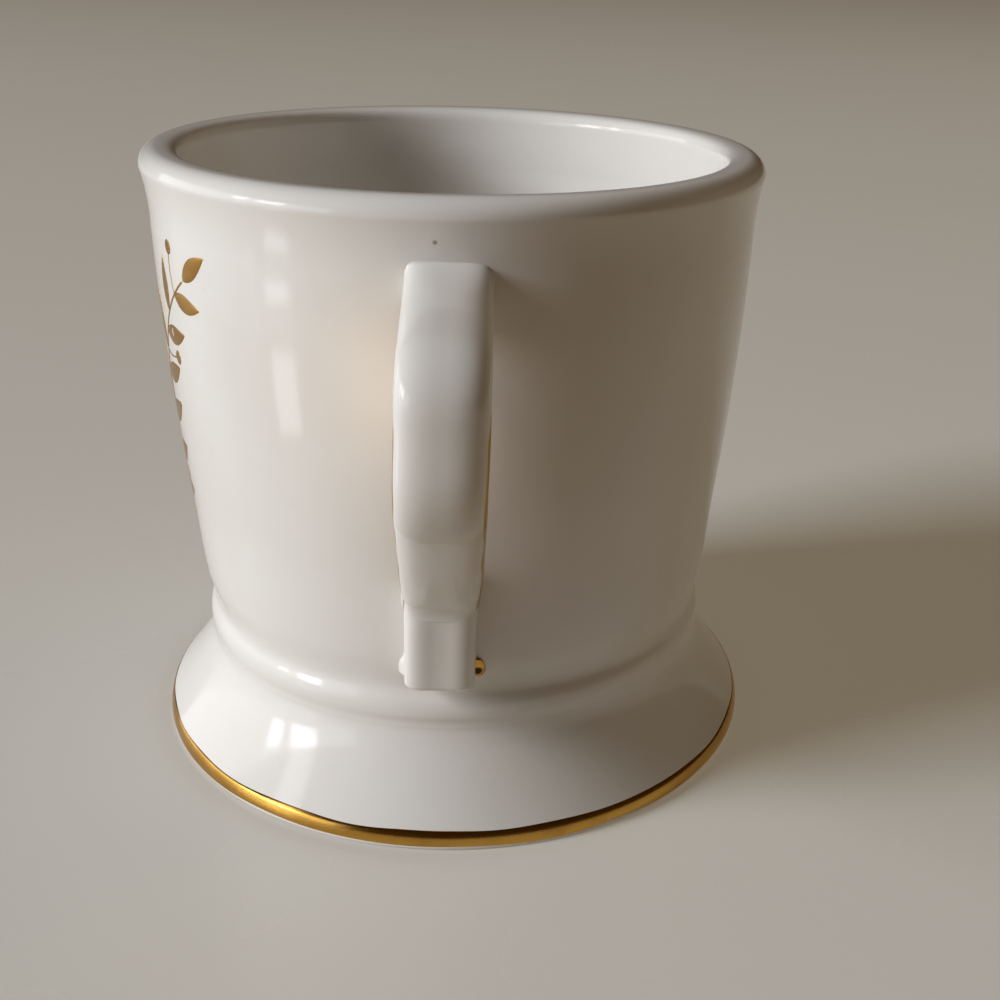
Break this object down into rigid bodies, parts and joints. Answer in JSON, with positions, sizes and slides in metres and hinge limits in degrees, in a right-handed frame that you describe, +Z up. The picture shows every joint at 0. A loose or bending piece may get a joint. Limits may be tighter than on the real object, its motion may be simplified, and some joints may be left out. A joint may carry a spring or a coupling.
{
  "type": "coffee mug",
  "caption": "Glazed stoneware mug with a rolled lip, a flared foot edged in gold and an ear-shaped strap handle lined with gold.",
  "frame": {"origin": "on the table, under the middle of the whole mug's box, handle included", "axes": "+Z up out of the cup, -Y towards the handle, +X to the right when the handle faces the viewer"},
  "size_m": [0.104, 0.1256, 0.1],
  "materials": {
    "glazed_stoneware": "glossy cream-white glaze",
    "gold_lustre": "fired bright gold"
  },
  "bodies": {
    "root": {"cup_body": "glazed_stoneware", "foot_skirt": "glazed_stoneware", "foot_gold_band": "gold_lustre", "handle_strap": "glazed_stoneware", "handle_gold_lining": "gold_lustre", "handle_tail": "glazed_stoneware", "upper_luting_coil": "glazed_stoneware", "lower_luting_coil": "glazed_stoneware"}
  },
  "joints": []
}
